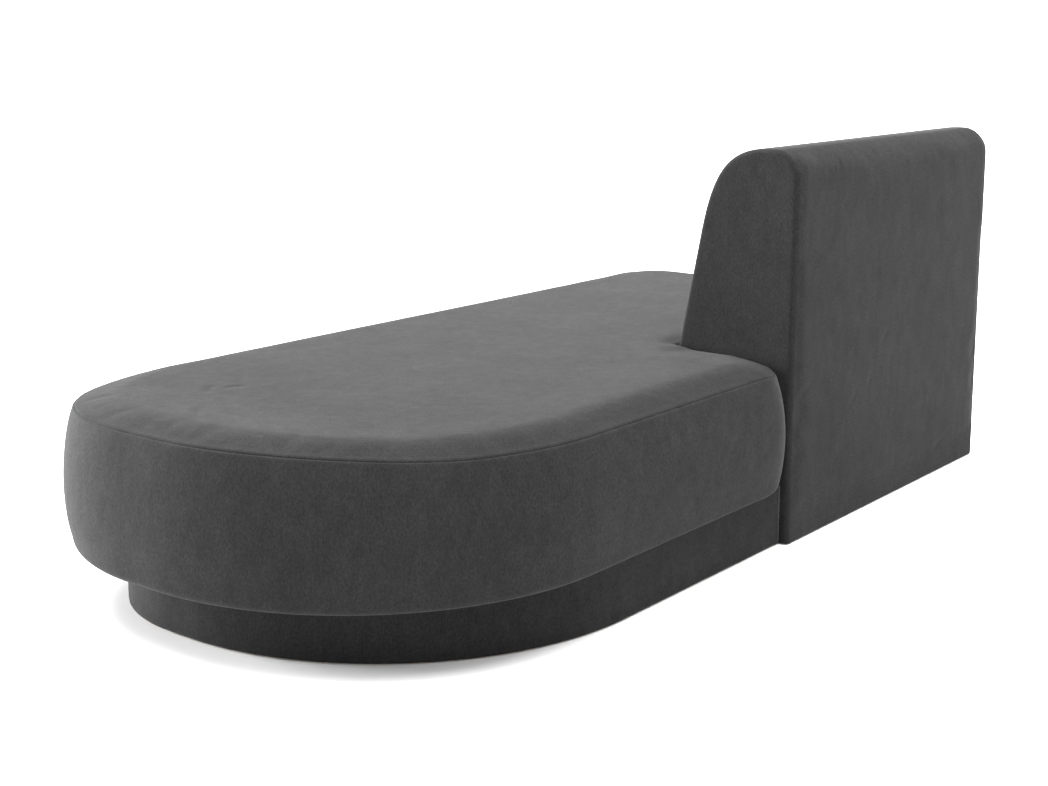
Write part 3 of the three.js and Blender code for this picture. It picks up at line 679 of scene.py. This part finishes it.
def mottle(tree, scale, detail, roughness=0.5, stretch=(1, 1, 1)):
    """Noise between 0 and 1."""
    return add_node(tree, "ShaderNodeTexNoise", {
        "Vector": placed(tree, stretch), "Scale": scale, "Detail": detail, "Roughness": roughness,
    }).outputs["Fac"]


def ramp(tree, value, stops):
    node = add_node(tree, "ShaderNodeValToRGB", {"Fac": value})
    elements = node.color_ramp.elements
    while len(elements) < len(stops):
        elements.new(0.5)
    for element, (position, colour) in zip(elements, stops):
        element.position = position
        element.color = (*colour, 1)
    return node.outputs["Color"]


def shaded(tree, value, low, high=(1.0, 1.0, 1.0)):
    """A soft change from one colour to another as a noise value rises."""
    return ramp(tree, value, [(0.3, low), (0.7, high)])


def dimmed(colour, share):
    return tuple(channel * share for channel in colour)


def mixed(tree, factor, a, b, blend="MIX"):
    node = tree.nodes.new("ShaderNodeMix")
    node.data_type = "RGBA"
    node.blend_type = blend
    for socket, value in ((0, factor), (6, a), (7, b)):
        if isinstance(value, bpy.types.NodeSocket):
            tree.links.new(value, node.inputs[socket])
        elif socket:
            node.inputs[socket].default_value = (*value, 1)
        else:
            node.inputs[socket].default_value = value
    return node.outputs[2]


def bumped(tree, shader, layers):
    """Chains bump nodes: (height socket, strength, distance)."""
    normal = None
    for height, strength, distance in layers:
        inputs = {"Height": height, "Strength": strength, "Distance": distance}
        if normal is not None:
            inputs["Normal"] = normal
        normal = add_node(tree, "ShaderNodeBump", inputs).outputs["Normal"]
    tree.links.new(normal, shader.inputs["Normal"])


def velvet():
    """Short dense pile: a dark base under a strong sheen, both brushed and mottled."""
    mat, tree, shader = material(
        "velvet", VELVET_BASE, 0.9, Sheen_Weight=1.0, Sheen_Roughness=0.4, Specular_IOR_Level=0.08
    )
    cloud = mottle(tree, 7.0, 3.0, 0.6)
    brushed = mottle(tree, 40.0, 3.0, 0.6, (1, 1, 0.55))
    nap = mottle(tree, 300.0, 3.0, 0.7, (1, 1, 0.6))
    pile = mottle(tree, 1500.0, 1.0)
    tone = shaded(tree, cloud, CLOUD_DARK)
    for layer, dark in ((brushed, BRUSHED_DARK), (nap, NAP_DARK)):
        tone = mixed(tree, 1.0, tone, shaded(tree, layer, dark), "MULTIPLY")
    tree.links.new(mixed(tree, 1.0, tone, VELVET_BASE, "MULTIPLY"), shader.inputs["Base Color"])
    tree.links.new(mixed(tree, 1.0, tone, VELVET_SHEEN, "MULTIPLY"), shader.inputs["Sheen Tint"])
    bumped(tree, shader, [
        (cloud, 0.30, 0.005),
        (brushed, 0.25, 0.0015),
        (nap, 0.35, 0.0008),
        (pile, 0.35, 0.0003),
    ])
    return mat


def wood(name, pale, dark, rings):
    """Rotary-cut or sawn timber; rings stretches the grain along each axis."""
    mat, tree, shader = material(name, pale, 0.6)
    grain = mottle(tree, 14.0, 6.0, 0.65, rings)
    wave = add_node(tree, "ShaderNodeTexWave", {
        "Vector": placed(tree, rings), "Scale": 5.0, "Distortion": 6.0, "Detail": 3.0,
    })
    colour = ramp(tree, grain, [(0.3, dark), (0.65, pale)])
    colour = mixed(tree, 0.25, colour, ramp(tree, wave.outputs["Fac"], [(0, dark), (1, pale)]))
    tree.links.new(colour, shader.inputs["Base Color"])
    bumped(tree, shader, [(grain, 0.25, 0.001)])
    return mat


def foam(name, colour, cell):
    """Open cells in a slightly mottled block."""
    mat, tree, shader = material(name, colour, 0.95, Specular_IOR_Level=0.1)
    cells = add_node(tree, "ShaderNodeTexVoronoi", {"Vector": placed(tree), "Scale": cell})
    shade = shaded(tree, mottle(tree, 60.0, 4.0, 0.6), dimmed(colour, 0.8), colour)
    tree.links.new(shade, shader.inputs["Base Color"])
    bumped(tree, shader, [(cells.outputs["Distance"], 0.5, 0.001)])
    return mat


def threads(tree, pitch, axis):
    inputs = {"Vector": placed(tree), "Scale": pitch, "Distortion": 0.4}
    return add_node(tree, "ShaderNodeTexWave", inputs, bands_direction=axis).outputs["Color"]


def woven(name, colour, pitch, roughness=0.8):
    """Crossed threads: webbing straps and the base cloth."""
    mat, tree, shader = material(name, colour, roughness, Specular_IOR_Level=0.2)
    crossed = mixed(tree, 0.5, threads(tree, pitch, "X"), threads(tree, pitch, "Y"))
    wear = shaded(tree, mottle(tree, 35.0, 3.0), (0.7, 0.7, 0.7))
    base = ramp(tree, crossed, [(0.2, dimmed(colour, 0.55)), (0.8, colour)])
    tree.links.new(mixed(tree, 0.5, base, wear, "MULTIPLY"), shader.inputs["Base Color"])
    bumped(tree, shader, [(crossed, 0.5, 0.0006)])
    return mat


def moulded(name, colour, roughness, metallic=0.0):
    """Plastic or plated steel, a little stained and finely rough."""
    mat, tree, shader = material(name, colour, roughness, Metallic=metallic)
    worn = shaded(tree, mottle(tree, 70.0, 3.0), dimmed(colour, 0.75), colour)
    tree.links.new(worn, shader.inputs["Base Color"])
    bumped(tree, shader, [(mottle(tree, 900.0, 3.0), 0.2, 0.0003)])
    return mat


def finish_cad_nodes():
    """Gives the frame's own parts their materials, by their slot in the record."""
    looks = {
        "plywood": wood("plywood", (0.56, 0.38, 0.20), (0.40, 0.25, 0.12), (1, 1, 6)),
        "timber": wood("timber", (0.62, 0.44, 0.24), (0.46, 0.30, 0.15), (1.5, 9, 9)),
        "foam": foam("seat_foam_block", (0.78, 0.70, 0.44), 700.0),
        "wadding": foam("wadding", (0.82, 0.81, 0.78), 240.0),
        "webbing": woven("webbing", (0.045, 0.042, 0.040), 130.0),
        "glides": moulded("glide_plastic", (0.02, 0.02, 0.02), 0.4),
        "bolts": moulded("zinc_steel", (0.50, 0.51, 0.53), 0.35, 1.0),
    }
    slots = {part["node"]: part["material_slot"] for part in frame["record"]["subparts"]}
    for node, slot in slots.items():
        if slot in looks:
            obj = bpy.data.objects[node]
            obj.data.materials.clear()
            obj.data.materials.append(looks[slot])


# ---- Base cloth under the seat ----
def base_cloth():
    """The cloth, with the size of its outline's box and its area."""
    stations = seat_path(BASE_CLOTH_SPACING)
    outline = stations[:, :2] + stations[:, 2:] * (CLOTH_LOW[0] - LEFT)
    outline = np.vstack([outline, [(BACK_END, BACK_FRONT)]])
    verts, faces = fill(outline, BASE_CLOTH_SPACING)
    middle = (CLOTH_LOW[2] + CLOTH_HIGH[2]) / 2
    points = np.column_stack([verts, np.full(len(verts), middle)])
    points[:, 2] += ripple(points, (0.12, 0.12, 1), BASE_CLOTH_RIPPLE, 11)
    obj = new_object("base_cloth_sheet", points, faces)
    thickened(obj, BASE_CLOTH)
    a, b = outline, np.roll(outline, -1, axis=0)
    area = abs(np.sum(a[:, 0] * b[:, 1] - a[:, 1] * b[:, 0])) / 2
    size = outline.max(axis=0) - outline.min(axis=0)
    return obj, size, area


# ---- Stage ----
def soft_light(name, direction, spread, strength):
    """A very wide distant light from a direction, like a softbox as large as a wall."""
    data = bpy.data.lights.new(name, "SUN")
    data.energy = strength
    data.angle = math.radians(spread)
    obj = bpy.data.objects.new(name, data)
    obj.rotation_euler = Vector(direction).to_track_quat("Z", "Y").to_euler()
    bpy.context.scene.collection.objects.link(obj)


def stage():
    corners = [(x * FLOOR_HALF, y * FLOOR_HALF, 0) for x, y in ((-1, -1), (1, -1), (1, 1), (-1, 1))]
    floor = new_object("floor", corners, [(0, 1, 2, 3)], smooth=False)
    white, _, _ = material("floor_white", (FLOOR_ALBEDO,) * 3, 0.9, Specular_IOR_Level=0.0)
    floor.data.materials.append(white)
    world = bpy.data.worlds.new("studio")
    world.use_nodes = True
    background = world.node_tree.nodes["Background"]
    background.inputs["Color"].default_value = (1, 1, 1, 1)
    background.inputs["Strength"].default_value = WORLD_STRENGTH
    bpy.context.scene.world = world
    for name, (direction, spread, strength) in LIGHTS.items():
        soft_light(name, direction, spread, strength)


# ---- Camera ----
def camera():
    data = bpy.data.cameras.new("camera")
    data.lens = CAMERA_LENS
    data.sensor_width = 36
    data.shift_y = CAMERA_SHIFT
    data.clip_end = 100
    obj = bpy.data.objects.new("camera", data)
    obj.location = CAMERA_PLACE
    obj.rotation_euler = (math.radians(90 + CAMERA_PITCH), 0, math.radians(CAMERA_HEADING))
    bpy.context.scene.collection.objects.link(obj)
    bpy.context.scene.camera = obj


# ---- The pieces ----
def stands_for(obj, look, slot, *nodes):
    """Gives a piece its material, parents it to the body and hides the CAD nodes that it takes the
    place of.
    """
    obj.data.materials.append(look)
    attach(obj, BODY)
    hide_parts(*nodes)


def build():
    look = velvet()
    seat = seat_cover()
    set_points(seat, tuck(points_of(seat), normals_of(seat), TUCK_ROUND))
    thickened(seat)
    stands_for(seat, look, "upholstery", "seat_side_band", "seat_top_cover")

    back = backrest_cover()
    thickened(back)
    back_nodes = ("backrest_cover", "backrest_end_cover_1", "backrest_end_cover_2")
    stands_for(back, look, "upholstery", *back_nodes)

    plinth = plinth_cover()
    thickened(plinth)
    stands_for(plinth, look, "upholstery", "plinth_cover")

    cloth, size, area = base_cloth()
    black_weave = woven("base_cloth", (0.014, 0.014, 0.014), 400.0, 0.95)
    stands_for(cloth, black_weave, "base_cloth", "seat_base_cloth")


bpy.context.scene.view_settings.view_transform = "Standard"
camera()
stage()
finish_cad_nodes()
build()
